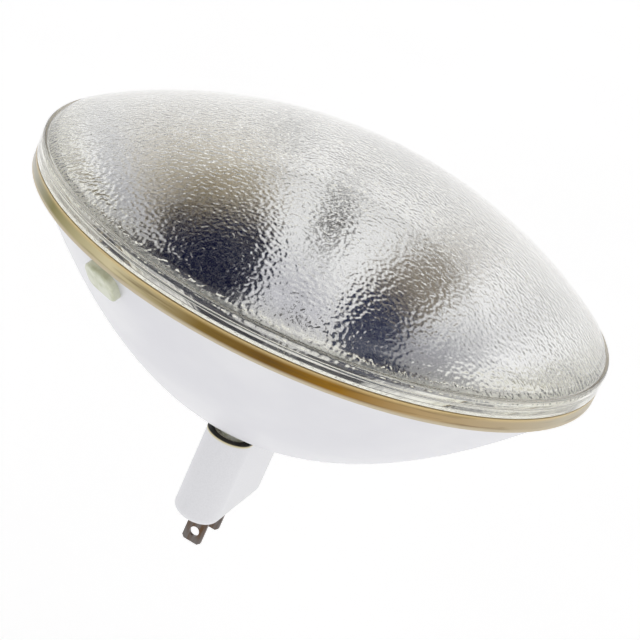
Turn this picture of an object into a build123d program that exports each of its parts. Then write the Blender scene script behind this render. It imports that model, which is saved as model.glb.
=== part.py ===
from build123d import *
import math
import os

# Sealed-beam spotlight bulb, 8 inches across: a pressed-glass lens bonded to a pressed-glass
# reflector, a quartz capsule with its filament between them, and a two-blade ceramic base.
# Millimetres. Z is the lamp's axis, lens up. Z = 0 is the rear seat of the rim.
# The blades face each other along Y.

# Rim: reflector flange, bond and lens flange
rim_radius = 101.6
flange_height = 4.6
flange_width = 3.8
rear_ledge = 2.2
seal_thickness = 0.4
seal_setback = 1.1
lens_flange_height = 6.0
rim_edge_round = 0.8

# Lens: stepped shoulder and dome
shoulder_ledge = 1.5
shoulder_height = 2.2
shoulder_slope = 1.6
dome_rise = 29.3
lens_thickness = 4.0

# Reflector: paraboloid of pressed glass with its locating lugs
bowl_depth = 63.6
bowl_wall = 3.6
lug_angle = 247.0
lug_count = 2
lug_drop = 6.0
lug_length = 14.0
lug_height = 10.0
lug_corner = 3.5
lug_proud = 2.4
lug_round = 0.8

# Neck: the thick glass at the back that holds the ferrules and the sealed exhaust tip
neck_length = 36.0
neck_width = 10.0
neck_height = 6.4
tip_radius = 2.0
tip_height = 3.0

# Base: ceramic shell cemented round the neck
base_length = 52.0
base_width = 17.0
base_height = 34.1
base_rise = 0.5
base_wall = 2.5
base_floor = 6.6
base_round = 3.0
base_seat_gap = 0.2
cement_height = 3.6
cement_cover = 1.0

# Contact blades
blade_spacing = 16.0
blade_width = 7.4
blade_thickness = 1.3
blade_reach = 15.4
blade_corner = 1.0
blade_hole = 3.7
blade_hole_from_tip = 4.2
blade_fit = 0.15
blade_shoulder_width = 9.4
blade_shoulder_height = 3.0
blade_tail_width = 4.4
blade_tail_height = 5.0

# Ferrules, support posts and base leads
ferrule_radius = 4.0
ferrule_wall = 0.6
ferrule_length = 5.0
ferrule_proud = 1.0
seal_fit = 0.05
post_radius = 1.1
post_top_gap = 1.2
base_lead_radius = 0.9

# Capsule: quartz tube closed by a pinch, with foils, legs and leads in line
capsule_radius = 7.5
capsule_wall = 1.0
capsule_above = 13.0
pinch_width = 14.0
pinch_thickness = 4.4
pinch_height = 12.0
pinch_floor_gap = 7.0
pinch_round = 1.2
foil_spacing = 8.0
foil_width = 2.6
foil_height = 7.0
foil_thickness = 0.1
leg_radius = 0.45
lead_radius = 0.6
lead_drop = 3.4
lead_bend = 1.5
coil_radius = 1.6
coil_wire_radius = 0.28
coil_wire_facets = 8
coil_pitch = 1.1

# Places worked out from the sizes above
bowl_radius = rim_radius - rear_ledge
mouth_radius = rim_radius - flange_width
bowl_back = -bowl_depth
bowl_floor = bowl_back + bowl_wall
lug_radius = bowl_radius * math.sqrt(1 - lug_drop / bowl_depth)
lug_slope = 2 * bowl_depth * lug_radius / bowl_radius**2
focus = bowl_floor + mouth_radius**2 / (4 * (flange_height - bowl_floor))
lens_foot = flange_height + seal_thickness
lens_ledge = lens_foot + lens_flange_height
step_radius = rim_radius - shoulder_ledge
dome_foot_radius = step_radius - shoulder_slope
dome_foot = lens_ledge + shoulder_height
dome_top = dome_foot + dome_rise
dome_radius = (dome_foot_radius**2 + dome_rise**2) / (2 * dome_rise)
dome_centre = dome_top - dome_radius
neck_back = bowl_back - neck_height
base_bottom = bowl_back + base_rise - base_height
cavity_floor = base_bottom + base_floor
cavity_length = base_length - 2 * base_wall
cavity_width = base_width - 2 * base_wall
blade_tip = base_bottom - blade_reach
blade_shoulder = cavity_floor + blade_shoulder_height
blade_top = blade_shoulder + blade_tail_height
ferrule_bottom = neck_back - ferrule_proud
ferrule_top = ferrule_bottom + ferrule_length
ferrule_floor = ferrule_bottom + ferrule_wall
pinch_bottom = bowl_floor + pinch_floor_gap
pinch_top = pinch_bottom + pinch_height
capsule_shoulder = focus + capsule_above
foil_bottom = pinch_bottom + (pinch_height - foil_height) / 2
foil_top = foil_bottom + foil_height
lead_end = pinch_bottom - lead_drop
coil_length = foil_spacing - 2 * leg_radius - 2 * coil_wire_radius

# The two contacts: front is the -Y side, rear the +Y side
sides = {"front": -1, "rear": 1}


def corners(sketch, places):
    """Corners of an upright profile at the given distances from the axis and heights."""
    found = []
    for radius, height in places:
        spot = Vector(radius, 0, height)
        found.append(sketch.vertices().sort_by(lambda corner: (Vector(corner) - spot).length)[0])
    return found


os.makedirs("parts", exist_ok=True)

# Lens: dome and stepped flange in one revolved profile
with BuildPart() as lens:
    with BuildSketch(Plane.XZ) as lens_profile:
        with BuildLine():
            inner_edge = dome_centre + math.sqrt((dome_radius - lens_thickness) ** 2 - mouth_radius**2)
            Line((0, dome_top - lens_thickness), (0, dome_top))
            TangentArc((0, dome_top), (dome_foot_radius, dome_foot), tangent=(1, 0))
            Polyline(
                (dome_foot_radius, dome_foot),
                (step_radius, lens_ledge),
                (rim_radius, lens_ledge),
                (rim_radius, lens_foot),
                (mouth_radius, lens_foot),
                (mouth_radius, inner_edge),
            )
            TangentArc((0, dome_top - lens_thickness), (mouth_radius, inner_edge), tangent=(1, 0))
        make_face()
        rounded = [
            (dome_foot_radius, dome_foot),
            (step_radius, lens_ledge),
            (rim_radius, lens_ledge),
            (rim_radius, lens_foot),
        ]
        fillet(corners(lens_profile.sketch, rounded), rim_edge_round)
    revolve(axis=Axis.Z)
lens.part.label = "lens"
export_step(lens.part, "parts/lens.step")

# Rim seal: the bond between the two flanges, set back from their edges
with BuildPart() as rim_seal:
    with BuildSketch(Plane.XY.offset(flange_height)):
        Circle(rim_radius - seal_setback)
        Circle(mouth_radius, mode=Mode.SUBTRACT)
    extrude(amount=seal_thickness)
rim_seal.part.label = "rim_seal"
export_step(rim_seal.part, "parts/rim_seal.step")

# Reflector: paraboloid bowl and flange, then lugs, neck, exhaust tip and ferrule seats
with BuildPart() as reflector:
    with BuildSketch(Plane.XZ) as bowl_profile:
        with BuildLine():
            Bezier((0, bowl_back), (bowl_radius / 2, bowl_back), (bowl_radius, 0))
            Polyline(
                (bowl_radius, 0),
                (rim_radius, 0),
                (rim_radius, flange_height),
                (mouth_radius, flange_height),
            )
            Bezier((mouth_radius, flange_height), (mouth_radius / 2, bowl_floor), (0, bowl_floor))
            Line((0, bowl_floor), (0, bowl_back))
        make_face()
        fillet(corners(bowl_profile.sketch, [(rim_radius, flange_height)]), rim_edge_round)
    revolve(axis=Axis.Z)

    for lug in range(lug_count):
        turn = math.radians(lug_angle + lug * 360 / lug_count)
        outward = Vector(math.cos(turn), math.sin(turn), 0)
        facing = (outward * lug_slope - Vector(0, 0, 1)).normalized()
        lug_centre = outward * lug_radius + Vector(0, 0, -lug_drop) + facing * lug_proud
        with BuildSketch(Plane(origin=lug_centre, x_dir=outward.cross(Vector(0, 0, 1)), z_dir=facing)):
            RectangleRounded(lug_length, lug_height, lug_corner)
        extrude(amount=-lug_proud - bowl_wall / 2)
        fillet(reflector.faces().sort_by_distance(lug_centre)[0].edges(), lug_round)

    with BuildSketch(Plane.XY.offset(neck_back)):
        SlotOverall(neck_length, neck_width, rotation=90)
    extrude(amount=neck_height + bowl_wall / 2)
    with BuildSketch(Plane.XZ):
        with BuildLine():
            tip_shoulder = neck_back - tip_height + tip_radius
            Polyline((0, neck_back - tip_height), (0, bowl_back), (tip_radius, bowl_back), (tip_radius, tip_shoulder))
            TangentArc((tip_radius, tip_shoulder), (0, neck_back - tip_height), tangent=(0, -1))
        make_face()
    revolve(axis=Axis.Z)
    with BuildSketch(Plane.XY.offset(neck_back)):
        with GridLocations(0, blade_spacing, 1, 2):
            Circle(ferrule_radius + seal_fit)
    extrude(amount=ferrule_length - ferrule_proud, mode=Mode.SUBTRACT)
    with BuildSketch(Plane.XY.offset(neck_back)):
        with GridLocations(0, blade_spacing, 1, 2):
            Circle(post_radius + seal_fit)
    extrude(amount=neck_height + 2 * bowl_wall, mode=Mode.SUBTRACT)
reflector.part.label = "reflector"
export_step(reflector.part, "parts/reflector.step")

# Ceramic base: obround shell with a thick floor, its top shaped to the back of the bowl
with BuildPart() as ceramic_base:
    with BuildSketch(Plane.XY.offset(base_bottom)):
        SlotOverall(base_length, base_width, rotation=90)
    extrude(amount=base_height)
    fillet(ceramic_base.edges().group_by(Axis.Z)[0], base_round)
    with BuildSketch(Plane.XY.offset(cavity_floor)):
        SlotOverall(cavity_length, cavity_width, rotation=90)
    extrude(amount=base_height, mode=Mode.SUBTRACT)
    with BuildSketch(Plane.XY.offset(base_bottom)):
        with GridLocations(0, blade_spacing, 1, 2):
            Rectangle(blade_width + 2 * blade_fit, blade_thickness + 2 * blade_fit)
    extrude(amount=base_floor, mode=Mode.SUBTRACT)
    with BuildSketch(Plane.XZ):
        with BuildLine():
            Bezier(
                (0, bowl_back - base_seat_gap),
                (bowl_radius / 2, bowl_back - base_seat_gap),
                (bowl_radius, -base_seat_gap),
            )
            Polyline((bowl_radius, -base_seat_gap), (0, -base_seat_gap), (0, bowl_back - base_seat_gap))
        make_face()
    revolve(axis=Axis.Z, mode=Mode.SUBTRACT)
ceramic_base.part.label = "ceramic_base"
export_step(ceramic_base.part, "parts/ceramic_base.step")

# Base cement: the ring between the neck and the base's inner wall
with BuildPart() as base_cement:
    with BuildSketch(Plane.XY.offset(neck_back + cement_cover)):
        SlotOverall(cavity_length, cavity_width, rotation=90)
        SlotOverall(neck_length, neck_width, rotation=90, mode=Mode.SUBTRACT)
    extrude(amount=cement_height)
base_cement.part.label = "base_cement"
export_step(base_cement.part, "parts/base_cement.step")

# Contacts: a blade, its lead, its ferrule and its support post on each side
for side, sign in sides.items():
    contact_y = sign * blade_spacing / 2
    contact_plane = Plane.XZ.offset(-contact_y)

    with BuildPart() as contact_blade:
        with BuildSketch(contact_plane) as blade_profile:
            with Locations((0, (blade_tip + cavity_floor) / 2)):
                Rectangle(blade_width, cavity_floor - blade_tip)
            chamfer(blade_profile.vertices().group_by(Axis.Z)[0], blade_corner)
            with Locations((0, cavity_floor + blade_shoulder_height / 2)):
                Rectangle(blade_shoulder_width, blade_shoulder_height)
            with Locations((0, blade_shoulder + blade_tail_height / 2)):
                Rectangle(blade_tail_width, blade_tail_height)
            with Locations((0, blade_tip + blade_hole_from_tip)):
                Circle(blade_hole / 2, mode=Mode.SUBTRACT)
        extrude(amount=blade_thickness / 2, both=True)
    contact_blade.part.label = f"contact_blade_{side}"
    export_step(contact_blade.part, f"parts/contact_blade_{side}.step")

    with BuildPart() as base_lead:
        with BuildSketch(Plane.XY.offset(blade_top)):
            with Locations((0, contact_y)):
                Circle(base_lead_radius)
        extrude(amount=ferrule_bottom - blade_top)
    base_lead.part.label = f"base_lead_{side}"
    export_step(base_lead.part, f"parts/base_lead_{side}.step")

    with BuildPart() as ferrule:
        with BuildSketch(Plane.XY.offset(ferrule_bottom)):
            with Locations((0, contact_y)):
                Circle(ferrule_radius)
        extrude(amount=ferrule_length)
        with BuildSketch(Plane.XY.offset(ferrule_floor)):
            with Locations((0, contact_y)):
                Circle(ferrule_radius - ferrule_wall)
        extrude(amount=ferrule_length, mode=Mode.SUBTRACT)
    ferrule.part.label = f"ferrule_{side}"
    export_step(ferrule.part, f"parts/ferrule_{side}.step")

    with BuildPart() as support_post:
        with BuildSketch(Plane.XY.offset(ferrule_floor)):
            with Locations((0, contact_y)):
                Circle(post_radius)
        extrude(amount=pinch_bottom - post_top_gap - ferrule_floor)
    support_post.part.label = f"support_post_{side}"
    export_step(support_post.part, f"parts/support_post_{side}.step")

# Capsule current path: outer lead, foil and inner leg in line on each side
for side, sign in sides.items():
    foil_y = sign * foil_spacing / 2
    post_face = sign * (blade_spacing / 2 - post_radius)

    with BuildPart() as capsule_lead:
        with BuildLine() as lead_path:
            FilletPolyline((0, foil_y, foil_bottom), (0, foil_y, lead_end), (0, post_face, lead_end), radius=lead_bend)
        with BuildSketch(Plane(origin=lead_path.line @ 0, z_dir=lead_path.line % 0)):
            Circle(lead_radius)
        sweep(path=lead_path.line)
    capsule_lead.part.label = f"capsule_lead_{side}"
    export_step(capsule_lead.part, f"parts/capsule_lead_{side}.step")

    with BuildPart() as pinch_foil:
        with BuildSketch(Plane.XY.offset(foil_bottom)):
            with Locations((0, foil_y)):
                Rectangle(foil_thickness, foil_width)
        extrude(amount=foil_height)
    pinch_foil.part.label = f"pinch_foil_{side}"
    export_step(pinch_foil.part, f"parts/pinch_foil_{side}.step")

    with BuildPart() as filament_leg:
        with BuildSketch(Plane.XY.offset(foil_top)):
            with Locations((0, foil_y)):
                Circle(leg_radius)
        extrude(amount=focus + coil_radius - foil_top)
    filament_leg.part.label = f"filament_leg_{side}"
    export_step(filament_leg.part, f"parts/filament_leg_{side}.step")

# Filament: a tungsten coil across the axis at the reflector's focus, from leg to leg
with BuildPart() as filament_coil:
    with BuildLine() as coil_path:
        Helix(coil_pitch, coil_length, coil_radius, center=(0, -coil_length / 2, focus), direction=(0, 1, 0))
    with BuildSketch(Plane(origin=coil_path.line @ 0, z_dir=coil_path.line % 0)):
        RegularPolygon(coil_wire_radius, coil_wire_facets)
    sweep(path=coil_path.line, is_frenet=True)
filament_coil.part.label = "filament_coil"
export_step(filament_coil.part, "parts/filament_coil.step")

# Capsule envelope: quartz tube with a domed end and a flat pinch sealed on the current path
with BuildPart() as capsule_envelope:
    with BuildSketch(Plane.XZ):
        with BuildLine():
            Polyline((0, pinch_top), (capsule_radius, pinch_top), (capsule_radius, capsule_shoulder))
            TangentArc((capsule_radius, capsule_shoulder), (0, capsule_shoulder + capsule_radius), tangent=(0, 1))
            Line((0, capsule_shoulder + capsule_radius), (0, pinch_top))
        make_face()
    revolve(axis=Axis.Z)
    with BuildSketch(Plane.XY.offset(pinch_bottom)):
        RectangleRounded(pinch_thickness, pinch_width, pinch_round)
    extrude(amount=pinch_height + capsule_wall)
    with BuildSketch(Plane.XZ):
        with BuildLine():
            bore = capsule_radius - capsule_wall
            bore_floor = pinch_top + capsule_wall
            Polyline((0, bore_floor), (bore, bore_floor), (bore, capsule_shoulder))
            TangentArc((bore, capsule_shoulder), (0, capsule_shoulder + bore), tangent=(0, 1))
            Line((0, capsule_shoulder + bore), (0, bore_floor))
        make_face()
    revolve(axis=Axis.Z, mode=Mode.SUBTRACT)
    with BuildSketch(Plane.XY.offset(foil_bottom)):
        with GridLocations(0, foil_spacing, 1, 2):
            Rectangle(foil_thickness, foil_width)
    extrude(amount=foil_height, mode=Mode.SUBTRACT)
    with BuildSketch(Plane.XY.offset(foil_top)):
        with GridLocations(0, foil_spacing, 1, 2):
            Circle(leg_radius)
    extrude(amount=bore_floor - foil_top, mode=Mode.SUBTRACT)
    with BuildSketch(Plane.XY.offset(pinch_bottom)):
        with GridLocations(0, foil_spacing, 1, 2):
            Circle(lead_radius)
    extrude(amount=foil_bottom - pinch_bottom, mode=Mode.SUBTRACT)
capsule_envelope.part.label = "capsule_envelope"
export_step(capsule_envelope.part, "parts/capsule_envelope.step")
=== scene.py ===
"""Looks of a sealed-beam spotlight bulb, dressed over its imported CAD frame."""

import logging
import math
from dataclasses import dataclass, replace
from enum import Enum

import bmesh
import bpy
from mathutils import Matrix, Vector


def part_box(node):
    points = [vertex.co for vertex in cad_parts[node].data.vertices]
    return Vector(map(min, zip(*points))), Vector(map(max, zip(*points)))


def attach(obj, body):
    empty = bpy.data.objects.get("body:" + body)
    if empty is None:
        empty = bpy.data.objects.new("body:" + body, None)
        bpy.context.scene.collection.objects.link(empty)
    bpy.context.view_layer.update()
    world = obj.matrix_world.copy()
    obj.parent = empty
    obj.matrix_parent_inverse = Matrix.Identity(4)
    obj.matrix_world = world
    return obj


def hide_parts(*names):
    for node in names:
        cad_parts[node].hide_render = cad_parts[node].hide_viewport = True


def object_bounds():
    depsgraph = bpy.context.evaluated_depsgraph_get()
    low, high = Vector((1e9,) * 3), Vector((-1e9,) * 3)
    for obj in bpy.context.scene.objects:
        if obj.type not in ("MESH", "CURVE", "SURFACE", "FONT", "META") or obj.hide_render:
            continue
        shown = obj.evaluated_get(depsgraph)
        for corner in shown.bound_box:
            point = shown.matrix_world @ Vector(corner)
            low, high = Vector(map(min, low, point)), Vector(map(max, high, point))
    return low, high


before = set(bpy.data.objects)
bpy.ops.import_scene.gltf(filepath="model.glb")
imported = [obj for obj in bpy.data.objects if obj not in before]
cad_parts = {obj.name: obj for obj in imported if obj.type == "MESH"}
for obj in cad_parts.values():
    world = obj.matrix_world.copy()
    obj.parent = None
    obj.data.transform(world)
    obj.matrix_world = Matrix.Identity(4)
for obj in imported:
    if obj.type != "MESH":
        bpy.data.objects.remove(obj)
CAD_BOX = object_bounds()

MM = 0.001
LOG = logging.getLogger("spotlight_bulb")
# A turned ring with more segments than this is halved where its edges would be too short.
HALVED_ABOVE = 48

Tree = bpy.types.NodeTree
Socket = bpy.types.NodeSocket


class Zone(Enum):
    """Parts of the pressed-glass reflector that carry a finish of their own."""

    BOWL = 0
    FLANGE = 1
    LUG = 2
    NECK = 3
    INSIDE = 4


class Side(Enum):
    """The two current paths through the lamp, named for the blade that each one ends in."""

    FRONT = "front"
    REAR = "rear"


def linear(hex_colour: str) -> tuple[float, float, float, float]:
    """Turns an sRGB hex colour into linear RGBA.

    Args:
        hex_colour: six hex digits after a hash sign.

    Returns:
        Linear red, green, blue and an alpha of 1.
    """
    channels = []
    for start in (1, 3, 5):
        value = int(hex_colour[start : start + 2], 16) / 255
        channels.append(value / 12.92 if value <= 0.04045 else ((value + 0.055) / 1.055) ** 2.4)
    return channels[0], channels[1], channels[2], 1.0


def add_node(
    tree: Tree,
    kind: str,
    inputs: dict | None = None,
    stops: tuple[tuple[float, str], ...] = (),
    **settings: object,
) -> bpy.types.Node:
    """Adds one node to a tree with its settings and the links into it.

    Args:
        tree: the node tree that gets the node.
        kind: the node's type name.
        inputs: a value or an output socket for each input, by name or index.
        stops: place from 0 to 1 and hex colour of each stop, for a colour ramp.
        settings: the node's own properties.

    Returns:
        The new node.
    """
    node = tree.nodes.new(kind)
    for name, value in settings.items():
        setattr(node, name, value)
    for index, (place, colour) in enumerate(stops):
        elements = node.color_ramp.elements
        element = elements[index] if index < 2 else elements.new(place)
        element.position = place
        element.color = linear(colour)
    for key, value in (inputs or {}).items():
        if isinstance(value, Socket):
            tree.links.new(value, node.inputs[key])
        else:
            node.inputs[key].default_value = value
    return node


class Finish:
    """A procedural finish on one Principled shader, patterned on Object coordinates."""

    name: str

    def shade(self, tree: Tree, place: Socket) -> dict:
        """Lists the shader's inputs, which each finish does in its own way.

        Args:
            tree: the material's tree.
            place: Object coordinates.

        Returns:
            A value or an output socket for each input, by name.
        """
        raise NotImplementedError

    def build(self) -> bpy.types.Material:
        """Makes the material.

        Returns:
            The finish as a material.
        """
        material = bpy.data.materials.new(self.name)
        material.use_nodes = True
        tree = material.node_tree
        tree.nodes.clear()
        place = add_node(tree, "ShaderNodeTexCoord").outputs["Object"]
        shader = add_node(tree, "ShaderNodeBsdfPrincipled", self.shade(tree, place))
        add_node(tree, "ShaderNodeOutputMaterial", {"Surface": shader.outputs["BSDF"]})
        return material


@dataclass(frozen=True)
class PressedLensGlass(Finish):
    """Clear borosilicate glass pressed in a mould, fire-polished outside and stippled inside."""

    # The eye looks through a smooth front at fine ripples that break up all that lies behind them.
    name: str = "pressed_borosilicate_glass"
    refraction: float = 1.47
    tint: str = "#FEFEFD"
    rim_tint: str = "#F8F7EE"
    rim_low: float = 11.5 * MM
    rim_high: float = 15.0 * MM
    peel_pitch: float = 9.0 * MM
    peel_depth: float = 1.0 * MM
    peel_strength: float = 0.04
    grain_pitch: float = 1.3 * MM
    grain_depth: float = 0.15 * MM
    grain_step: tuple[float, float] = (0.1, 0.9)
    frost: str = "#FAF9EE"
    frost_pitch: float = 0.7 * MM
    frost_gain: float = 1.6
    frost_step: tuple[float, float] = (2.2, 2.6)
    frost_clear: float = 0.94
    frost_rough: float = 0.35

    def relief(self, tree: Tree, place: Socket, stipple: Socket) -> Socket:
        """Adds the outside's waviness and the inside's pebbles.

        Args:
            tree: the material's tree.
            place: Object coordinates.
            stipple: weight of the stipple, 0 on the smooth outside.

        Returns:
            The shading normal.
        """
        # A fire-polished outside keeps a slow waviness, and the stipple is finer than the mesh holds.
        peel = add_node(
            tree, "ShaderNodeTexNoise", {"Vector": place, "Scale": 1 / self.peel_pitch, "Detail": 1.0}
        )
        grain = add_node(
            tree, "ShaderNodeTexNoise", {"Vector": place, "Scale": 1 / self.grain_pitch, "Detail": 0.0}
        )
        # The hammered mould leaves soft pebbles: their flanks catch the light and their tops keep the dark.
        pebbles = add_node(
            tree,
            "ShaderNodeMapRange",
            {"Value": grain.outputs["Fac"], "From Min": self.grain_step[0], "From Max": self.grain_step[1]},
            interpolation_type="SMOOTHSTEP",
        )
        wavy = add_node(
            tree,
            "ShaderNodeBump",
            {"Height": peel.outputs["Fac"], "Strength": self.peel_strength, "Distance": self.peel_depth},
        )
        rough = add_node(
            tree,
            "ShaderNodeBump",
            {
                "Height": pebbles.outputs["Result"],
                "Strength": stipple,
                "Distance": self.grain_depth,
                "Normal": wavy.outputs["Normal"],
            },
        )
        return rough.outputs["Normal"]

    def body(self, tree: Tree, place: Socket) -> Socket:
        """Adds the glass's own colour, which only its thick rim shows.

        Args:
            tree: the material's tree.
            place: Object coordinates.

        Returns:
            The colour.
        """
        height = add_node(tree, "ShaderNodeSeparateXYZ", {"Vector": place}).outputs["Z"]
        thin = add_node(
            tree, "ShaderNodeMapRange", {"Value": height, "From Min": self.rim_low, "From Max": self.rim_high}
        )
        stops = ((0.0, self.rim_tint), (1.0, self.tint))
        return add_node(tree, "ShaderNodeValToRGB", {"Fac": thin.outputs["Result"]}, stops).outputs["Color"]

    def frosted(self, tree: Tree, place: Socket, stipple: Socket) -> Socket:
        """Adds the ragged frosted border that the mould's edge leaves, where the stipple is deepest.

        Args:
            tree: the material's tree.
            place: Object coordinates.
            stipple: weight of the stipple, above 1 in the border.

        Returns:
            How frosted the glass is, from 0 to 1.
        """
        chips = add_node(
            tree, "ShaderNodeTexNoise", {"Vector": place, "Scale": 1 / self.frost_pitch, "Detail": 1.0}
        )
        ragged = add_node(
            tree,
            "ShaderNodeMath",
            {0: chips.outputs["Fac"], 1: self.frost_gain, 2: stipple},
            operation="MULTIPLY_ADD",
        )
        low, high = self.frost_step
        frost = add_node(
            tree, "ShaderNodeMapRange", {"Value": ragged.outputs["Value"], "From Min": low, "From Max": high}
        )
        return frost.outputs["Result"]

    def shade(self, tree: Tree, place: Socket) -> dict:
        """Lists the shader's inputs.

        Args:
            tree: the material's tree.
            place: Object coordinates.

        Returns:
            Inputs for glass with a yellow-green colour in its thick rim and a frosted border inside.
        """
        stipple = add_node(tree, "ShaderNodeAttribute", attribute_name="stipple").outputs["Fac"]
        frost = self.frosted(tree, place, stipple)
        clear = add_node(
            tree, "ShaderNodeMapRange", {"Value": frost, "To Min": 1.0, "To Max": self.frost_clear}
        )
        matt = add_node(
            tree, "ShaderNodeMapRange", {"Value": frost, "To Min": 0.0, "To Max": self.frost_rough}
        )
        colour = add_node(
            tree,
            "ShaderNodeMixRGB",
            {"Fac": frost, "Color1": self.body(tree, place), "Color2": linear(self.frost)},
        )
        return {
            "Base Color": colour.outputs["Color"],
            "Roughness": matt.outputs["Result"],
            "IOR": self.refraction,
            "Transmission Weight": clear.outputs["Result"],
            "Normal": self.relief(tree, place, stipple),
        }


@dataclass(frozen=True)
class SilveredBack(Finish):
    """Aluminium coat seen from behind through the glass, with the satin skin that the mould leaves."""

    # The eye sees a bright grey-white with soft, cloudy reflections and no clear image.
    name: str = "silvered_glass_back"
    colour: str = "#E3E3E6"
    cloud: str = "#D8D8DD"
    cloud_pitch: float = 45 * MM
    skin_pitch: float = 0.9 * MM
    skin_depth: float = 0.1 * MM
    skin_strength: float = 0.05
    rough: tuple[float, float] = (0.32, 0.42)

    def shade(self, tree: Tree, place: Socket) -> dict:
        """Lists the shader's inputs.

        Args:
            tree: the material's tree.
            place: Object coordinates.

        Returns:
            Inputs for a bright satin grey-white that carries soft reflections only.
        """
        clouds = add_node(
            tree, "ShaderNodeTexNoise", {"Vector": place, "Scale": 1 / self.cloud_pitch, "Detail": 3.0}
        ).outputs["Fac"]
        skin = add_node(
            tree, "ShaderNodeTexNoise", {"Vector": place, "Scale": 1 / self.skin_pitch, "Detail": 2.0}
        )
        colour = add_node(
            tree, "ShaderNodeValToRGB", {"Fac": clouds}, ((0.35, self.cloud), (0.65, self.colour))
        )
        low, high = self.rough
        rough = add_node(tree, "ShaderNodeMapRange", {"Value": clouds, "To Min": low, "To Max": high})
        bump = add_node(
            tree,
            "ShaderNodeBump",
            {"Height": skin.outputs["Fac"], "Strength": self.skin_strength, "Distance": self.skin_depth},
        )
        return {
            "Base Color": colour.outputs["Color"],
            "Metallic": 0.35,
            "Roughness": rough.outputs["Result"],
            "Coat Weight": 0.25,
            "Coat Roughness": 0.2,
            "Normal": bump.outputs["Normal"],
        }


@dataclass(frozen=True)
class VacuumAluminium(Finish):
    """Aluminium evaporated on polished glass."""

    # The eye sees a clear mirror with a breath of haze.
    name: str = "vacuum_deposited_aluminium"
    colour: str = "#F4F4F5"
    haze_pitch: float = 30 * MM
    rough: tuple[float, float] = (0.01, 0.06)

    def shade(self, tree: Tree, place: Socket) -> dict:
        """Lists the shader's inputs.

        Args:
            tree: the material's tree.
            place: Object coordinates.

        Returns:
            Inputs for the mirror.
        """
        haze = add_node(
            tree, "ShaderNodeTexNoise", {"Vector": place, "Scale": 1 / self.haze_pitch, "Detail": 2.0}
        )
        low, high = self.rough
        rough = add_node(
            tree, "ShaderNodeMapRange", {"Value": haze.outputs["Fac"], "To Min": low, "To Max": high}
        )
        return {"Base Color": linear(self.colour), "Metallic": 1.0, "Roughness": rough.outputs["Result"]}


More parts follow.
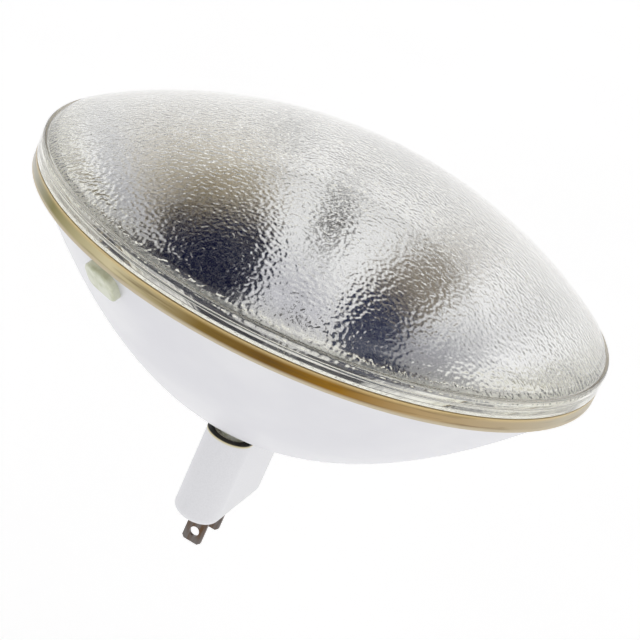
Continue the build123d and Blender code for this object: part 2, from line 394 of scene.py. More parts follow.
@dataclass(frozen=True)
class AmberBond(Finish):
    """Amber bonding resin that has drawn over the reflector's flange and set glossy."""

    # The eye sees a glossy band that turns from olive to amber, with drawn-out streaks, a painted highlight
    # along its top and another along its rounded lower edge.
    name: str = "amber_bonding_resin"
    # Colours round the rim by share of a turn from -X: olive where the resin is thin, amber and brown where
    # it has pooled.
    round_rim: tuple[tuple[float, str], ...] = (
        (0.0, "#A39A78"),
        (0.07, "#C8C6BE"),
        (0.14, "#80783F"),
        (0.195, "#D4C8A0"),
        (0.25, "#7E6428"),
        (0.285, "#6E4C02"),
        (0.32, "#94690A"),
        (0.36, "#B4986A"),
        (0.46, "#C0B69E"),
        (0.62, "#8A6A24"),
        (0.8, "#9C8558"),
        (1.0, "#A39A78"),
    )
    streak: str = "#5A431A"
    streak_height: float = 1.1 * MM
    streak_length: float = 26.0 * MM
    streak_step: tuple[float, float] = (0.46, 0.3)
    streak_cover: float = 0.6
    # The pale top band and the cream line along the flange's rounded lower edge are painted highlights.
    skin: str = "#E0C68E"
    top_highlight_low: float = 3.2 * MM
    top_highlight_high: float = 4.8 * MM
    top_highlight_cover: float = 0.8
    edge_highlight: str = "#CABDA2"
    edge_highlight_high: float = 1.5 * MM
    edge_highlight_low: float = 0.375 * MM
    sag_depth: float = 0.3 * MM
    sag_strength: float = 0.12

    def pooled(self, tree: Tree, across: Socket, along: Socket) -> Socket:
        """Adds the colours round the rim.

        Args:
            tree: the material's tree.
            across: the X coordinate.
            along: the Y coordinate.

        Returns:
            The colour.
        """
        angle = add_node(tree, "ShaderNodeMath", {0: along, 1: across}, operation="ARCTAN2")
        turn = add_node(
            tree,
            "ShaderNodeMapRange",
            {"Value": angle.outputs["Value"], "From Min": -math.pi, "From Max": math.pi},
        )
        ramp = add_node(tree, "ShaderNodeValToRGB", {"Fac": turn.outputs["Result"]}, self.round_rim)
        return ramp.outputs["Color"]

    def painted_highlights(self, tree: Tree, height: Socket, resin: Socket) -> Socket:
        """Adds painted highlights: a pale band along the resin's top and a pale cream line along the flange's
        rounded lower edge.

        Args:
            tree: the material's tree.
            height: the Z coordinate.
            resin: colour of the resin between them.

        Returns:
            The colour.
        """
        bands = (
            (self.top_highlight_low, self.top_highlight_high, self.top_highlight_cover, self.skin),
            (self.edge_highlight_high, self.edge_highlight_low, 1.0, self.edge_highlight),
        )
        colour = resin
        for start, end, cover, shade in bands:
            share = add_node(
                tree,
                "ShaderNodeMapRange",
                {"Value": height, "From Min": start, "From Max": end, "To Max": cover},
                interpolation_type="SMOOTHSTEP",
            )
            colour = add_node(
                tree,
                "ShaderNodeMixRGB",
                {"Fac": share.outputs["Result"], "Color1": colour, "Color2": linear(shade)},
            ).outputs["Color"]
        return colour

    def shade(self, tree: Tree, place: Socket) -> dict:
        """Lists the shader's inputs.

        Args:
            tree: the material's tree.
            place: Object coordinates.

        Returns:
            Inputs for a glossy amber that changes round the rim, with darker streaks and painted highlights
            at its top and lower edge.
        """
        spot = add_node(tree, "ShaderNodeSeparateXYZ", {"Vector": place}).outputs
        scale = (1 / self.streak_length, 1 / self.streak_length, 1 / self.streak_height)
        drawn = add_node(tree, "ShaderNodeMapping", {"Vector": place, "Scale": scale})
        streaks = add_node(
            tree, "ShaderNodeTexNoise", {"Vector": drawn.outputs["Vector"], "Scale": 1.0, "Detail": 4.0}
        ).outputs["Fac"]
        low, high = self.streak_step
        dark = add_node(
            tree,
            "ShaderNodeMapRange",
            {"Value": streaks, "From Min": low, "From Max": high, "To Max": self.streak_cover},
        )
        streaked = add_node(
            tree,
            "ShaderNodeMixRGB",
            {
                "Fac": dark.outputs["Result"],
                "Color1": self.pooled(tree, spot["X"], spot["Y"]),
                "Color2": linear(self.streak),
            },
        )
        sag = add_node(
            tree,
            "ShaderNodeBump",
            {"Height": streaks, "Strength": self.sag_strength, "Distance": self.sag_depth},
        )
        return {
            "Base Color": self.painted_highlights(tree, spot["Z"], streaked.outputs["Color"]),
            "Roughness": 0.35,
            "Specular IOR Level": 0.12,
            "Coat Weight": 0.15,
            "Coat Roughness": 0.08,
            "Normal": sag.outputs["Normal"],
        }


@dataclass(frozen=True)
class Speckled(Finish):
    """A solid finish with a fine speckle and grain, such as ceramic, cement or drawn metal."""

    name: str
    colour: str
    speckle: str
    pitch: float
    metallic: float
    rough: tuple[float, float]
    grain: float = 0.1
    # Depth of the grain as a share of its pitch.
    grain_depth: float = 0.2
    stretch: tuple[float, float, float] = (1.0, 1.0, 1.0)
    # Height share from 0 to 1 over the brim, and the colour there; none for a finish without a brim.
    brim: tuple[tuple[float, str], ...] = ()
    brim_height: float = 1.2 * MM
    brim_top: float = 0.0

    def brim_and_painted_shade(self, tree: Tree, place: Socket, colour: Socket) -> Socket:
        """Colours the brim below the piece's top edge; on the steatite its near-black top is painted shade.

        Args:
            tree: the material's tree.
            place: Object coordinates.
            colour: the finish's colour without the brim's colours.

        Returns:
            The colour with the brim's colours.
        """
        height = add_node(tree, "ShaderNodeSeparateXYZ", {"Vector": place}).outputs["Z"]
        foot = self.brim_top - self.brim_height
        share = add_node(
            tree, "ShaderNodeMapRange", {"Value": height, "From Min": foot, "From Max": self.brim_top}
        )
        # The ramp's near-black end paints shade over the steatite's top face.
        brim_shade = add_node(tree, "ShaderNodeValToRGB", {"Fac": share.outputs["Result"]}, self.brim)
        mixed = add_node(
            tree,
            "ShaderNodeMixRGB",
            {"Fac": 1.0, "Color1": colour, "Color2": brim_shade.outputs["Color"]},
            blend_type="MULTIPLY",
        )
        return mixed.outputs["Color"]

    def shade(self, tree: Tree, place: Socket) -> dict:
        """Lists the shader's inputs.

        Args:
            tree: the material's tree.
            place: Object coordinates.

        Returns:
            Inputs for the finish, with colour, roughness and grain from one noise.
        """
        drawn = add_node(tree, "ShaderNodeMapping", {"Vector": place, "Scale": self.stretch})
        noise = add_node(
            tree,
            "ShaderNodeTexNoise",
            {"Vector": drawn.outputs["Vector"], "Scale": 1 / self.pitch, "Detail": 4.0},
        ).outputs["Fac"]
        stops = ((0.35, self.speckle), (0.6, self.colour))
        colour = add_node(tree, "ShaderNodeValToRGB", {"Fac": noise}, stops).outputs["Color"]
        if self.brim:
            colour = self.brim_and_painted_shade(tree, place, colour)
        low, high = self.rough
        rough = add_node(tree, "ShaderNodeMapRange", {"Value": noise, "To Min": high, "To Max": low})
        bump = add_node(
            tree,
            "ShaderNodeBump",
            {"Height": noise, "Strength": self.grain, "Distance": self.pitch * self.grain_depth},
        )
        return {
            "Base Color": colour,
            "Metallic": self.metallic,
            "Roughness": rough.outputs["Result"],
            "Normal": bump.outputs["Normal"],
        }


# Steatite fired without a glaze gives an even satin white. Under its top edge a yellowish band runs into a
# near-black top, which is painted shade for the shadowed gap between the base and the glass neck.
STEATITE = Speckled(
    name="fired_steatite",
    colour="#E4E4E7",
    speckle="#E0E0E3",
    pitch=0.6 * MM,
    metallic=0.0,
    rough=(0.3, 0.4),
    grain=0.01,
    # The last, near-black stop is painted shade on the top face.
    brim=((0.0, "#FFFFFF"), (0.35, "#F6EFD0"), (0.7, "#D8C88E"), (0.8, "#1C1814")),
)
# Cast cement gives a sandy, matt off-white.
CEMENT = Speckled(
    name="basing_cement",
    colour="#DAD6C6",
    speckle="#B4AE9C",
    pitch=0.8 * MM,
    metallic=0.0,
    rough=(0.7, 0.9),
    grain=0.5,
)
# Plated strip that has been hot gives a dark grey metal with brown tarnish drawn along the blade.
BLADE = Speckled(
    name="nickel_plated_brass",
    colour="#736E6B",
    speckle="#614A37",
    pitch=1.6 * MM,
    metallic=1.0,
    rough=(0.28, 0.45),
    stretch=(1.0, 1.0, 0.15),
)
# A drawn cup gives a satin warm grey.
FERRULE = Speckled(
    name="drawn_iron_nickel",
    colour="#9A948C",
    speckle="#7F776D",
    pitch=0.7 * MM,
    metallic=1.0,
    rough=(0.3, 0.45),
)
# Drawn nickel gives a bright wire with faint lines along it.
WIRE = Speckled(
    name="bright_nickel_wire",
    colour="#B9B4AC",
    speckle="#958F86",
    pitch=0.5 * MM,
    metallic=1.0,
    rough=(0.2, 0.35),
    stretch=(1.0, 1.0, 0.2),
)
# Rolled foil gives a dull, even grey.
FOIL = Speckled(
    name="rolled_molybdenum_foil",
    colour="#B2B0AD",
    speckle="#9A9895",
    pitch=0.5 * MM,
    metallic=1.0,
    rough=(0.45, 0.6),
)
# Drawn molybdenum gives a satin grey wire with faint lines along it.
MOLYBDENUM = Speckled(
    name="drawn_molybdenum_wire",
    colour="#A9A6A2",
    speckle="#8E8B87",
    pitch=0.4 * MM,
    metallic=1.0,
    rough=(0.3, 0.45),
    stretch=(1.0, 1.0, 0.2),
)
# Wound tungsten gives a dull dark grey.
TUNGSTEN = Speckled(
    name="drawn_tungsten",
    colour="#A5A29D",
    speckle="#8A8782",
    pitch=0.3 * MM,
    metallic=1.0,
    rough=(0.5, 0.65),
)
# Glass worked in a flame gives a glossy neck with a hint of green. Its nearly white colour is painted light,
# made bright to offset the shade in the gap between bowl and base.
NECK_GLASS = Speckled(
    name="flame_sealed_glass",
    colour="#F6F6EC",
    speckle="#E2E4C8",
    pitch=2.0 * MM,
    metallic=0.0,
    rough=(0.08, 0.2),
    grain=0.05,
)
# Thick pressed glass without the coat gives the lugs a glossy pale green.
PALE_GLASS = Speckled(
    name="thick_pressed_glass",
    colour="#CDD0BC",
    speckle="#B6BA9E",
    pitch=3.0 * MM,
    metallic=0.0,
    rough=(0.12, 0.2),
    grain=0.05,
)


@dataclass(frozen=True)
class FusedQuartz(Finish):
    """Fused quartz tube, drawn and then pinched flat in a flame."""

    # The eye sees a clear, glossy tube with faint draw lines.
    name: str = "fused_quartz"
    refraction: float = 1.458
    line_width: float = 1.25 * MM
    line_length: float = 16.67 * MM
    line_depth: float = 0.1 * MM
    line_strength: float = 0.03

    def shade(self, tree: Tree, place: Socket) -> dict:
        """Lists the shader's inputs.

        Args:
            tree: the material's tree.
            place: Object coordinates.

        Returns:
            Inputs for clear quartz with the faint draw lines of the tube.
        """
        scale = (1 / self.line_width, 1 / self.line_width, 1 / self.line_length)
        drawn = add_node(tree, "ShaderNodeMapping", {"Vector": place, "Scale": scale})
        lines = add_node(
            tree, "ShaderNodeTexNoise", {"Vector": drawn.outputs["Vector"], "Scale": 1.0, "Detail": 1.0}
        )
        bump = add_node(
            tree,
            "ShaderNodeBump",
            {"Height": lines.outputs["Fac"], "Strength": self.line_strength, "Distance": self.line_depth},
        )
        return {
            "Base Color": linear("#FFFFFF"),
            "Roughness": 0.02,
            "IOR": self.refraction,
            "Transmission Weight": 1.0,
            "Normal": bump.outputs["Normal"],
        }


@dataclass(frozen=True)
class MattPaper(Finish):
    """Matt white backdrop paper, lit from behind."""

    # The eye sees an even pale ground with hardly a shadow.
    name: str = "matt_white_paper"
    light: str = "#FCFCFC"
    mottle: str = "#FAFAFA"
    mottle_pitch: float = 250 * MM
    glow: float = 0.42

    def shade(self, tree: Tree, place: Socket) -> dict:
        """Lists the shader's inputs.

        Args:
            tree: the material's tree.
            place: Object coordinates.

        Returns:
            Inputs for the paper.
        """
        noise = add_node(tree, "ShaderNodeTexNoise", {"Vector": place, "Scale": 1 / self.mottle_pitch})
        stops = ((0.3, self.mottle), (0.7, self.light))
        colour = add_node(tree, "ShaderNodeValToRGB", {"Fac": noise.outputs["Fac"]}, stops)
        return {
            "Base Color": colour.outputs["Color"],
            "Roughness": 0.9,
            "Emission Color": linear("#FFFFFF"),
            "Emission Strength": self.glow,
        }


@dataclass(frozen=True)
class TurnedRing:
    """One ring of a turned shell."""

    radius: float
    height: float
    segments: int
    stipple: float = 0.0


def ring_segments(radius: float, most: int, edge: float) -> int:
    """Halves a ring's segments until their edges are long enough.

    Args:
        radius: the ring's radius.
        most: segments of the widest ring.
        edge: least length of a segment's edge.

    Returns:
        The number of segments.
    """
    segments = most
    while segments > HALVED_ABOVE and math.tau * radius / segments < edge:
        segments //= 2
    return segments


def join_loops(work: bmesh.types.BMesh, first: list, second: list) -> None:
    """Closes the strip between two rings.

    Args:
        work: the mesh being made.
        first: points of one ring, or its single pole.
        second: points of the next ring, with as many, twice or half as many points.
    """
    few, many = (first, second) if len(first) <= len(second) else (second, first)
    count, full = len(few), len(many)
    if full not in (count, 2 * count) and count > 1:
        raise ValueError(f"rings of {count} and {full} points cannot be joined")
    for step in range(full):
        after = (step + 1) % full
        if count == 1:
            work.faces.new((few[0], many[step], many[after]))
        elif count == full:
            work.faces.new((few[step], many[step], many[after], few[after]))
        else:
            work.faces.new((few[(step + 1) // 2 % count], many[step], many[after]))
    if count > 1 and full == 2 * count:
        for step in range(count):
            work.faces.new((few[step], many[2 * step + 1], few[(step + 1) % count]))


def turned_mesh(name: str, rings: list[TurnedRing]) -> bpy.types.Mesh:
    """Turns a closed run of rings about the lamp's axis.

    Args:
        name: the mesh's name.
        rings: from pole to pole; a ring of radius 0 is a pole, and neighbours have equal or doubled segments.

    Returns:
        A closed mesh with a stipple weight at each point.
    """
    work = bmesh.new()
    weight = work.verts.layers.float.new("stipple")
    loops = []
    for ring in rings:
        count = 1 if ring.radius == 0 else ring.segments
        loop = []
        for step in range(count):
            angle = math.tau * step / count
            spot = (ring.radius * math.cos(angle), ring.radius * math.sin(angle), ring.height)
            point = work.verts.new(spot)
            point[weight] = ring.stipple
            loop.append(point)
        loops.append(loop)
    for first, second in zip(loops, loops[1:]):
        join_loops(work, first, second)
    bmesh.ops.recalc_face_normals(work, faces=work.faces)
    for face in work.faces:
        face.smooth = True
    mesh = bpy.data.meshes.new(name)
    work.to_mesh(mesh)
    work.free()
    return mesh


def new_piece(name: str, mesh: bpy.types.Mesh) -> bpy.types.Object:
    """Links a mesh into the scene as an object at the origin.

    Args:
        name: the piece's name.
        mesh: its mesh.

    Returns:
        The object.
    """
    piece = bpy.data.objects.new(name, mesh)
    bpy.context.scene.collection.objects.link(piece)
    return piece


def finish_node(name: str, finish: bpy.types.Material) -> bpy.types.Object:
    """Gives a CAD node its finish and leaves its mesh as it is.

    Args:
        name: the node's name.
        finish: its material.

    Returns:
        The node's object.
    """
    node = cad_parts[name]
    node.data.materials.clear()
    node.data.materials.append(finish)
    return node


@dataclass
class StippleTree:
    """Geometry Nodes tree that presses the mould's hammered stipple into a shell."""

    pitch: float = 1.7 * MM
    depth: float = 0.065 * MM
    seed: float = 4.0

    def relief(self, tree: Tree, start: bpy.types.NodeOutputs) -> Socket:
        """Adds the height of the stipple, weighted by the shell's own stipple attribute.

        Args:
            tree: the tree being built.
            start: the group's inputs.

        Returns:
            The height, up or down from the smooth shell.
        """
        scale = add_node(tree, "ShaderNodeMath", {0: 1.0, 1: start["Pitch"]}, operation="DIVIDE")
        noise = add_node(
            tree,
            "ShaderNodeTexNoise",
            {"W": start["Seed"], "Scale": scale.outputs["Value"], "Detail": 0.0},
            noise_dimensions="4D",
        )
        centred = add_node(tree, "ShaderNodeMath", {0: noise.outputs["Fac"], 1: 0.5}, operation="SUBTRACT")
        weight = add_node(tree, "GeometryNodeInputNamedAttribute", {"Name": "stipple"}, data_type="FLOAT")
        height = centred.outputs["Value"]
        for factor in (weight.outputs["Attribute"], start["Depth"]):
            product = add_node(tree, "ShaderNodeMath", {0: height, 1: factor}, operation="MULTIPLY")
            height = product.outputs["Value"]
        return height

    def build(self) -> Tree:
        """Builds the tree.

        Returns:
            A tree with inputs for the pitch, depth, seed and material.
        """
        tree = bpy.data.node_groups.new("pressed_stipple", "GeometryNodeTree")
        face = tree.interface
        face.new_socket("Geometry", in_out="INPUT", socket_type="NodeSocketGeometry")
        for label in ("Pitch", "Depth", "Seed"):
            face.new_socket(label, in_out="INPUT", socket_type="NodeSocketFloat")
        face.new_socket("Material", in_out="INPUT", socket_type="NodeSocketMaterial")
        face.new_socket("Geometry", in_out="OUTPUT", socket_type="NodeSocketGeometry")
        start = add_node(tree, "NodeGroupInput").outputs
        normal = add_node(tree, "GeometryNodeInputNormal")
        offset = add_node(
            tree,
            "ShaderNodeVectorMath",
            {0: normal.outputs["Normal"], "Scale": self.relief(tree, start)},
            operation="SCALE",
        )
        moved = add_node(
            tree,
            "GeometryNodeSetPosition",
            {"Geometry": start["Geometry"], "Offset": offset.outputs["Vector"]},
        )
        real = add_node(tree, "GeometryNodeRealizeInstances", {"Geometry": moved.outputs["Geometry"]})
        dressed = add_node(
            tree,
            "GeometryNodeSetMaterial",
            {"Geometry": real.outputs["Geometry"], "Material": start["Material"]},
        )
        add_node(tree, "NodeGroupOutput", {"Geometry": dressed.outputs["Geometry"]})
        return tree

    def press(self, piece: bpy.types.Object, material: bpy.types.Material) -> None:
        """Runs the tree on a piece and leaves it a plain mesh.

        Args:
            piece: the shell to stipple.
            material: its finish.
        """
        tree = self.build()
        modifier = piece.modifiers.new("pressed_stipple", "NODES")
        modifier.node_group = tree
        values = {"Pitch": self.pitch, "Depth": self.depth, "Seed": self.seed, "Material": material}
        for item in tree.interface.items_tree:
            if item.in_out == "INPUT" and item.name in values:
                modifier[item.identifier] = values[item.name]
        ready = piece.evaluated_get(bpy.context.evaluated_depsgraph_get())
        mesh = bpy.data.meshes.new_from_object(ready)
        piece.modifiers.clear()
        piece.data = mesh


@dataclass
class Lens:
    """Domed pressed-glass lens with a stepped flange."""

    rim_radius: float
    flange_bottom: float
    apex: float
    flange_height: float = 6.0 * MM
    edge_round: float = 0.8 * MM
    ledge: float = 1.5 * MM
    shoulder_height: float = 2.2 * MM
    shoulder_slope: float = 1.6 * MM
    wall: float = 4.0 * MM
    mouth_radius: float = 97.8 * MM
    mouth_round: float = 1.0 * MM
    # Share of the mouth's round over which the stipple fades out.
    stipple_end: float = 0.6
    border: float = 2.0 * MM
    border_fade: float = 0.9 * MM
    border_stipple: float = 2.2
    bead_height: float = 1.1 * MM
    bead_reach: float = 0.4 * MM
    bead_middle: float = 1.8 * MM
    bond_film: float = 0.03 * MM
    # Mesh: spacing of the stippled rings, least edges, and segments of the widest rings.
    cell: float = 0.7 * MM
    cell_edge: float = 0.385 * MM
    outer_edge: float = 1.0 * MM
    fine: int = 800
    smooth: int = 400
    outer_steps: int = 40
    bead_steps: int = 8
    edge_steps: int = 6
    # Rings across a flat face as shares of its width: those near its edges keep its shading flat.
    face_rings: tuple[float, ...] = (0.1, 0.5, 0.9)
    seat_rings: tuple[float, ...] = (0.03, 0.5, 0.97)
    edge_rings: tuple[float, ...] = (0.05, 0.5, 0.95)

    @classmethod
    def from_frame(cls) -> "Lens":
        """Takes the overall sizes from the CAD node."""
        low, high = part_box("lens")
        return cls(rim_radius=high.x, flange_bottom=low.z + cls.bond_film, apex=high.z)

    @property
    def flange_top(self) -> float:
        """Height of the flange's top."""
        return self.flange_bottom + self.flange_height

    @property
    def foot(self) -> float:
        """Radius of the dome's foot."""
        return self.rim_radius - self.ledge - self.shoulder_slope

    def dome(self) -> tuple[float, float]:
        """Finds the outer dome's sphere.

        Returns:
            The sphere's radius and the height of its centre.
        """
        rise = self.apex - (self.flange_top + self.shoulder_height)
        radius = (self.foot * self.foot + rise * rise) / (2 * rise)
        return radius, self.apex - radius

    def mouth_centre(self) -> tuple[float, float]:
        """Finds the middle of the round between the inside and the mouth.

        Returns:
            Its radius from the axis and its height.
        """
        outer, centre = self.dome()
        radius = self.mouth_radius - self.mouth_round
        reach = outer - self.wall - self.mouth_round
        return radius, centre + math.sqrt(reach**2 - radius**2)

    def inside(self) -> list[TurnedRing]:
        """Lists the rings of the stippled inside.

        Returns:
            The rings from the inner apex to the mouth, with a deeper stipple in the border.
        """
        outer, centre = self.dome()
        inner = outer - self.wall
        round_radius, round_height = self.mouth_centre()
        sweep = math.atan2(round_height - centre, round_radius)
        edge = inner * math.cos(sweep)
        count = round(edge / self.cell)
        rings = [TurnedRing(0, centre + inner, 1, 1.0)]
        for step in range(1, count + 1):
            radius = edge * step / count
            segments = ring_segments(radius, self.fine, self.cell_edge)
            within = (self.border - edge + radius) / self.border_fade
            stipple = 1.0 + (self.border_stipple - 1.0) * min(max(within, 0.0), 1.0)
            rings.append(TurnedRing(radius, centre + math.sqrt(inner**2 - radius**2), segments, stipple))
        turns = round(self.mouth_round * sweep / self.cell)
        for step in range(1, turns + 1):
            angle = sweep * (1 - step / turns)
            radius = round_radius + self.mouth_round * math.cos(angle)
            height = round_height + self.mouth_round * math.sin(angle)
            fading = max(0.0, 1.0 - step / (turns * self.stipple_end))
            rings.append(TurnedRing(radius, height, self.fine, self.border_stipple * fading))
        return rings

    def mouth(self) -> list[TurnedRing]:
        """Lists the rings of the mouth with its bead.

        Returns:
            The rings from below the mouth's round to the flange's bottom.
        """
        high = self.mouth_centre()[1]
        bead = self.flange_bottom + self.bead_middle
        half = self.bead_height / 2
        rings = []
        for share in self.face_rings:
            height = high + (bead + half - high) * share
            rings.append(TurnedRing(self.mouth_radius, height, self.smooth))
        for step in range(self.bead_steps + 1):
            angle = math.pi * step / self.bead_steps
            radius = self.mouth_radius - self.bead_reach * math.sin(angle)
            rings.append(TurnedRing(radius, bead + half * math.cos(angle), self.smooth))
        for share in (*self.face_rings, 1.0):
            height = bead - half + (self.flange_bottom - (bead - half)) * share
            rings.append(TurnedRing(self.mouth_radius, height, self.smooth))
        return rings

    def flange(self) -> list[TurnedRing]:
        """Lists the rings of the flange's seat, edge and shoulder.

        Returns:
            The rings from beside the mouth to the dome's foot.
        """
        width = self.rim_radius - self.mouth_radius
        rings = []
        for share in (*self.seat_rings, 1.0):
            rings.append(TurnedRing(self.mouth_radius + width * share, self.flange_bottom, self.smooth))
        for share in self.edge_rings:
            height = self.flange_bottom + (self.flange_height - self.edge_round) * share
            rings.append(TurnedRing(self.rim_radius, height, self.smooth))
        for step in range(self.edge_steps + 1):
            angle = math.pi / 2 * step / self.edge_steps
            radius = self.rim_radius - self.edge_round * (1 - math.cos(angle))
            height = self.flange_top - self.edge_round * (1 - math.sin(angle))
            rings.append(TurnedRing(radius, height, self.smooth))
        for share in (0.0, *self.face_rings, 1.0):
            radius = self.rim_radius - self.ledge - self.shoulder_slope * share
            height = self.flange_top + self.shoulder_height * share
            rings.append(TurnedRing(radius, height, self.smooth))
        return rings

    def outside(self) -> list[TurnedRing]:
        """Lists the rings of the smooth outside.

        Returns:
            The rings from above the dome's foot to the outer apex.
        """
        outer, centre = self.dome()
        rings = []
        for step in range(1, self.outer_steps):
            radius = self.foot * (1 - step / self.outer_steps)
            segments = ring_segments(radius, self.smooth, self.outer_edge)
            rings.append(TurnedRing(radius, centre + math.sqrt(outer**2 - radius**2), segments))
        rings.append(TurnedRing(0, self.apex, 1))
        return rings

    def build(self, stipple: StippleTree, glass: bpy.types.Material) -> bpy.types.Object:
        """Makes the lens and presses its stipple.

        Args:
            stipple: the tree that displaces the inner face.
            glass: the lens's finish.

        Returns:
            The lens.
        """
        rings = self.inside() + self.mouth() + self.flange() + self.outside()
        piece = new_piece("lens_shell", turned_mesh("lens_shell", rings))
        stipple.press(piece, glass)
        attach(piece, "root")
        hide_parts("lens")
        return piece


@dataclass
class Reflector:
    """Pressed-glass bowl with its flange, lugs and neck, and the aluminium coat inside it."""

    rim_radius: float
    flange_top: float
    flange_width: float = 3.8 * MM
    rear_ledge: float = 2.2 * MM
    bowl_depth: float = 63.6 * MM
    bowl_wall: float = 3.6 * MM
    # Edges that bend by more than this stay sharp, and points closer than the weld are one.
    crease: float = math.radians(28)
    weld: float = 0.001 * MM
    # How far a face may lie off its zone's ideal surface, and the share of the rim's radius around the neck.
    mirror_slack: float = 0.5 * MM
    mouth_slack: float = 0.1 * MM
    seat_slack: float = 0.2 * MM
    bowl_slack: float = 0.15 * MM
    neck_share: float = 0.5
    # The coat's top stands this far off the glass, and its thickness is a share of that.
    coat: float = 0.06 * MM
    coat_share: float = 0.9
    coat_reach: float = 0.999
    coat_edge: float = 0.8 * MM
    coat_steps: int = 90
    coat_segments: int = 384

    @classmethod
    def from_frame(cls) -> "Reflector":
        """Takes the overall sizes from the CAD node."""
        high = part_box("reflector")[1]
        return cls(rim_radius=high.x, flange_top=high.z)

    @property
    def mouth(self) -> float:
        """Radius of the bowl's mouth."""
        return self.rim_radius - self.flange_width

    def bowl_height(self, radius: float) -> float:
        """Gives the height of the bowl's outside at a radius."""
        return -self.bowl_depth * (1 - (radius / (self.rim_radius - self.rear_ledge)) ** 2)

    def mirror_height(self, radius: float) -> float:
        """Gives the height of the bowl's inside at a radius."""
        floor = self.bowl_wall - self.bowl_depth
        return floor + (self.flange_top - floor) * (radius / self.mouth) ** 2

    def zone_of(self, spot: Vector) -> Zone:
        """Names the zone that a point on the glass belongs to.

        Args:
            spot: a point on the reflector.

        Returns:
            Its zone.
        """
        radius = math.hypot(spot.x, spot.y)
        above_mirror = spot.z > self.mirror_height(radius) - self.mirror_slack
        if above_mirror and radius < self.mouth + self.mouth_slack:
            return Zone.INSIDE
        if spot.z > -self.seat_slack:
            return Zone.FLANGE
        if spot.z < self.bowl_height(radius) - self.bowl_slack:
            return Zone.LUG if radius > self.neck_share * self.rim_radius else Zone.NECK
        return Zone.BOWL

    def body(self, finishes: dict[Zone, bpy.types.Material]) -> bpy.types.Object:
        """Dresses a merged copy of the CAD glass by zone.

        Args:
            finishes: the material of each zone.

        Returns:
            The glass body.
        """
        work = bmesh.new()
        work.from_mesh(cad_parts["reflector"].data)
        bmesh.ops.remove_doubles(work, verts=work.verts, dist=self.weld)
        for face in work.faces:
            face.smooth = True
            face.material_index = self.zone_of(face.calc_center_median()).value
        for edge in work.edges:
            edge.smooth = len(edge.link_faces) == 2 and edge.calc_face_angle(0.0) < self.crease
        mesh = bpy.data.meshes.new("reflector_glass")
        work.to_mesh(mesh)
        work.free()
        for zone in Zone:
            mesh.materials.append(finishes[zone])
        piece = new_piece("reflector_glass", mesh)
        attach(piece, "root")
        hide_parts("reflector")
        return piece

    def mirror(self, finish: bpy.types.Material) -> bpy.types.Object:
        """Lays the thin aluminium coat on the inside of the bowl.

        Args:
            finish: the coat's material.

        Returns:
            The coat.
        """
        top = []
        for step in range(self.coat_steps + 1):
            radius = self.mouth * self.coat_reach * step / self.coat_steps
            segments = ring_segments(radius, self.coat_segments, self.coat_edge)
            top.append(TurnedRing(radius, self.mirror_height(radius) + self.coat, segments))
        depth = self.coat * self.coat_share
        under = [TurnedRing(ring.radius, ring.height - depth, ring.segments) for ring in reversed(top)]
        piece = new_piece("mirror_coat", turned_mesh("mirror_coat", top + under))
        piece.data.materials.append(finish)
        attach(piece, "root")
        return piece


@dataclass
class ProngBase:
    """Ceramic end-prong base: shell, cement, blades and leads, all on their CAD meshes."""

    shell: Speckled = STEATITE
    cement: Speckled = CEMENT
    blade: Speckled = BLADE

    def dress(self, wire: bpy.types.Material) -> list[bpy.types.Object]:
        """Gives each piece its finish.

        Args:
            wire: the leads' finish.

        Returns:
            The dressed pieces.
        """
        blade = self.blade.build()
        shell = replace(self.shell, brim_top=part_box("ceramic_base")[1].z)
        pieces = [
            finish_node("ceramic_base", shell.build()),
            finish_node("base_cement", self.cement.build()),
        ]
        for side in Side:
            pieces.append(finish_node(f"contact_blade_{side.value}", blade))
            pieces.append(finish_node(f"base_lead_{side.value}", wire))
        return pieces


@dataclass
class Burner:
    """Quartz capsule with its filament, foils, leads, posts and ferrules, all on their CAD meshes."""

    envelope: FusedQuartz = FusedQuartz()
    coil: Speckled = TUNGSTEN
    foil: Speckled = FOIL
    lead: Speckled = MOLYBDENUM
    ferrule: Speckled = FERRULE

    def dress(self, wire: bpy.types.Material) -> list[bpy.types.Object]:
        """Gives each piece its finish.

        Args:
            wire: the support posts' finish.

        Returns:
            The dressed pieces.
        """
        foil = self.foil.build()
        lead = self.lead.build()
        ferrule = self.ferrule.build()
        pieces = [
            finish_node("filament_coil", self.coil.build()),
            finish_node("capsule_envelope", self.envelope.build()),
        ]
        for side in Side:
            pieces.append(finish_node(f"ferrule_{side.value}", ferrule))
            pieces.append(finish_node(f"support_post_{side.value}", wire))
            pieces.append(finish_node(f"capsule_lead_{side.value}", lead))
            pieces.append(finish_node(f"pinch_foil_{side.value}", foil))
            pieces.append(finish_node(f"filament_leg_{side.value}", lead))
        return pieces


@dataclass(frozen=True)
class DarkFlag:
    """A soft-edged dark gap in the white ceiling, placed on a flat map of the sky round the lamp's axis."""

    centre: tuple[float, float]
    half_size: tuple[float, float]
    turn: float
    colour: str
    # Share of the half size that is fully covered.
    core: float


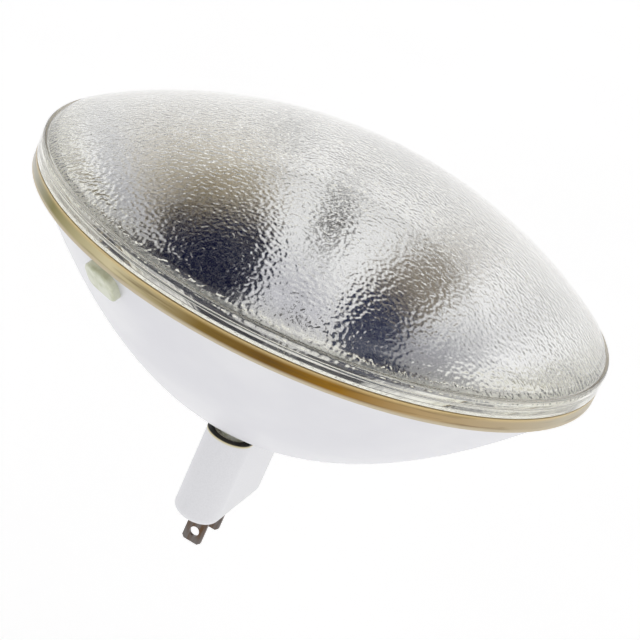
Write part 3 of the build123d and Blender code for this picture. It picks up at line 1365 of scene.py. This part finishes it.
# Later flags cover earlier ones: greys first, and last the near-blacks that show as dark patches in the lens.
FLAGS = (
    DarkFlag((-1.0, -0.35), (0.42, 0.6), 0.0, "#A8A8AE", 0.4),
    DarkFlag((-0.05, -0.55), (0.36, 0.26), 0.0, "#6E6E72", 0.5),
    DarkFlag((0.33, -0.24), (0.12, 0.12), 0.0, "#7A7A7C", 0.4),
    DarkFlag((0.34, 0.52), (0.17, 0.25), 0.0, "#AEAEB2", 0.5),
    DarkFlag((0.34, 0.15), (0.17, 0.4), math.radians(-12), "#B4A686", 0.4),
    DarkFlag((-0.24, -0.11), (0.19, 0.17), math.radians(30), "#908676", 0.4),
    DarkFlag((-0.38, 0.13), (0.12, 0.25), math.radians(40), "#9A9AA0", 0.35),
    DarkFlag((0.03, 0.0), (0.22, 0.17), 0.0, "#C6C6CC", 0.3),
    DarkFlag((-0.04, 0.27), (0.27, 0.21), 0.0, "#05081A", 0.85),
    DarkFlag((-0.19, 0.12), (0.14, 0.13), 0.0, "#05081A", 0.8),
    DarkFlag((0.255, 0.16), (0.106, 0.26), math.radians(-14), "#040828", 0.9),
    DarkFlag((-0.225, -0.02), (0.085, 0.15), math.radians(37), "#1E2644", 0.88),
    DarkFlag((0.065, -0.205), (0.046, 0.05), 0.0, "#2C2212", 0.85),
)


@dataclass
class Studio:
    """Pale floor, soft white surroundings and the camera; lengths in metres and angles in radians."""

    distance: float = 0.625
    elevation: float = 0.3404
    azimuth: float = math.radians(14.0)
    roll: float = 0.4204
    # Focal length and optical centre in pixels of the photograph's square frame.
    focal_pixels: float = 1855.4
    centre: tuple[float, float] = (320.74, 262.55)
    frame_pixels: float = 640.0
    # The sensor's width and the focal length are in millimetres, as Blender takes them.
    sensor_width: float = 36.0
    clip: tuple[float, float] = (0.01, 100.0)
    floor_drop: float = 0.25
    floor_size: float = 30.0
    paper: MattPaper = MattPaper()
    sky: str = "#FFFFFF"
    strength: float = 1.02
    # Just over 1, so that the sky's map stays finite straight below.
    nadir_guard: float = 1.0001
    # Thick glass in front of a mirror needs many bounces.
    bounces: int = 24
    glossy_bounces: int = 12

    def camera(self) -> bpy.types.Object:
        """Stands the camera at the photograph's angle.

        Returns:
            The camera.
        """
        flat = math.cos(self.elevation)
        east = math.sin(self.azimuth) * flat
        south = -math.cos(self.azimuth) * flat
        back = Vector((east, south, math.sin(self.elevation)))
        right = Vector((math.cos(self.azimuth), math.sin(self.azimuth), 0.0))
        up = back.cross(right)
        rolled = Matrix.Rotation(-self.roll, 3, "Z") @ Matrix((right, up, back))
        half = self.frame_pixels / 2
        aim = Vector((self.centre[0] - half, half - self.centre[1], -self.focal_pixels)).normalized()
        turn = Vector((0, 0, -1)).rotation_difference(aim).to_matrix()
        data = bpy.data.cameras.new("studio_camera")
        data.sensor_fit = "HORIZONTAL"
        data.sensor_width = self.sensor_width
        data.lens = self.sensor_width * self.focal_pixels / self.frame_pixels
        data.clip_start, data.clip_end = self.clip
        camera = bpy.data.objects.new("studio_camera", data)
        camera.matrix_world = Matrix.Translation(back * self.distance) @ (turn @ rolled).transposed().to_4x4()
        bpy.context.scene.collection.objects.link(camera)
        bpy.context.scene.camera = camera
        return camera

    def floor(self) -> bpy.types.Object:
        """Lays a plain pale floor.

        Returns:
            The floor.
        """
        work = bmesh.new()
        bmesh.ops.create_grid(work, x_segments=1, y_segments=1, size=self.floor_size)
        bmesh.ops.translate(work, verts=work.verts, vec=(0, 0, CAD_BOX[0].z - self.floor_drop))
        mesh = bpy.data.meshes.new("studio_floor")
        work.to_mesh(mesh)
        work.free()
        mesh.materials.append(self.paper.build())
        floor = new_piece("studio_floor", mesh)
        return floor

    def sky_map(self, tree: Tree) -> Socket:
        """Lays the sky flat round the lamp's axis, by stereographic projection.

        Args:
            tree: the world's tree.

        Returns:
            The place on the flat map, with a height of 0.
        """
        way = add_node(tree, "ShaderNodeTexCoord").outputs["Generated"]
        rise = add_node(tree, "ShaderNodeSeparateXYZ", {"Vector": way}).outputs["Z"]
        above = add_node(tree, "ShaderNodeMath", {0: rise, 1: self.nadir_guard}, operation="ADD")
        spread = add_node(tree, "ShaderNodeMath", {0: 1.0, 1: above.outputs["Value"]}, operation="DIVIDE")
        scaled = add_node(
            tree, "ShaderNodeVectorMath", {0: way, "Scale": spread.outputs["Value"]}, operation="SCALE"
        )
        level = add_node(
            tree, "ShaderNodeVectorMath", {0: scaled.outputs["Vector"], 1: (1, 1, 0)}, operation="MULTIPLY"
        )
        return level.outputs["Vector"]

    def hang(self, tree: Tree, flag: DarkFlag, place: Socket, behind: Socket | tuple) -> Socket:
        """Hangs one dark flag in front of the sky.

        Args:
            tree: the world's tree.
            flag: the flag.
            place: the place on the sky's flat map.
            behind: colour of what the flag covers.

        Returns:
            The sky's colour with the flag.
        """
        local = add_node(
            tree,
            "ShaderNodeMapping",
            {
                "Vector": place,
                "Location": (*flag.centre, 0.0),
                "Rotation": (0.0, 0.0, flag.turn),
                "Scale": (*flag.half_size, 1.0),
            },
            vector_type="TEXTURE",
        )
        off = add_node(tree, "ShaderNodeVectorMath", {0: local.outputs["Vector"]}, operation="LENGTH")
        cover = add_node(
            tree,
            "ShaderNodeMapRange",
            {"Value": off.outputs["Value"], "From Min": 1.0, "From Max": flag.core},
            interpolation_type="SMOOTHSTEP",
        )
        mixed = add_node(
            tree,
            "ShaderNodeMixRGB",
            {"Fac": cover.outputs["Result"], "Color1": behind, "Color2": linear(flag.colour)},
        )
        return mixed.outputs["Color"]

    def light(self) -> None:
        """Surrounds the lamp with soft white light and shows its colours plainly."""
        world = bpy.data.worlds.new("soft_studio")
        world.use_nodes = True
        tree = world.node_tree
        tree.nodes.clear()
        out = add_node(tree, "ShaderNodeOutputWorld")
        place = self.sky_map(tree)
        sky = linear(self.sky)
        for flag in FLAGS:
            sky = self.hang(tree, flag, place, sky)
        glow = add_node(tree, "ShaderNodeBackground", {"Color": sky, "Strength": self.strength})
        tree.links.new(glow.outputs["Background"], out.inputs["Surface"])
        scene = bpy.context.scene
        scene.world = world
        scene.view_settings.view_transform = "Standard"
        scene.view_settings.look = "None"
        scene.cycles.max_bounces = self.bounces
        scene.cycles.glossy_bounces = self.glossy_bounces
        scene.cycles.transmission_bounces = self.bounces


def main() -> None:
    """Builds every piece in order and reports it."""
    logging.basicConfig(level=logging.INFO, format="%(name)s: %(message)s")
    studio = Studio()
    studio.camera()
    studio.floor()
    studio.light()
    amber = AmberBond().build()
    mirror = VacuumAluminium().build()
    wire = WIRE.build()
    finishes = {
        Zone.BOWL: SilveredBack().build(),
        Zone.FLANGE: amber,
        Zone.LUG: PALE_GLASS.build(),
        Zone.NECK: NECK_GLASS.build(),
        Zone.INSIDE: mirror,
    }
    reflector = Reflector.from_frame()
    pieces = [
        Lens.from_frame().build(StippleTree(), PressedLensGlass().build()),
        reflector.body(finishes),
        reflector.mirror(mirror),
        finish_node("rim_seal", amber),
    ]
    pieces += ProngBase().dress(wire) + Burner().dress(wire)
    for piece in pieces:
        LOG.info("%s: %d faces, %s", piece.name, len(piece.data.polygons), piece.data.materials[0].name)


if __name__ == "__main__":
    main()
